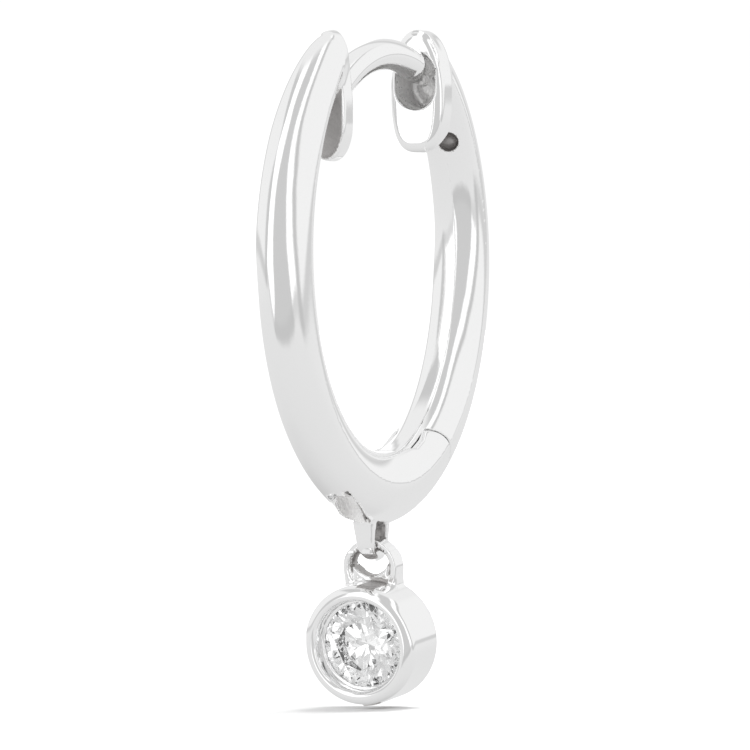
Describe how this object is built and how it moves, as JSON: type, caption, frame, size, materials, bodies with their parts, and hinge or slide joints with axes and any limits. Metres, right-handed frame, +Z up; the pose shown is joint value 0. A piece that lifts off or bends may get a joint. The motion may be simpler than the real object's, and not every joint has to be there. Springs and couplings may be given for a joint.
{
  "type": "hoop charm earring",
  "caption": "Hinged oval hoop earring with an arched ear post, a catch at the back, and a round bezel-set stone that hangs from a small loop.",
  "frame": {"origin": "on the axis of the ear post, straight above the middle of the hoop, where the ear lobe carries the earring", "axes": "+Z up, -Y towards the front of the hoop, +Y towards its hinged back leaf, X across the hoop"},
  "size_m": [0.003, 0.012, 0.0169],
  "materials": {
    "white_gold": "polished white gold",
    "clear_stone": "polished facets"
  },
  "bodies": {
    "front": {"front_hoop": "white_gold", "hinge_pin": "white_gold"},
    "leaf": {"back_leaf": "white_gold"},
    "drop": {"drop_setting": "white_gold", "stone": "clear_stone"}
  },
  "joints": [
    {"name": "leaf_hinge", "type": "hinge", "parent": "front", "child": "leaf", "pos_m": [0, 0.00221, -0.01029], "axis": [-1, 0, 0], "range_deg": [0, 60]},
    {"name": "drop_swing", "type": "hinge", "parent": "front", "child": "drop", "pos_m": [0, -0.00008, -0.01206], "axis": [1, 0, 0], "range_deg": [-45, 60]}
  ]
}
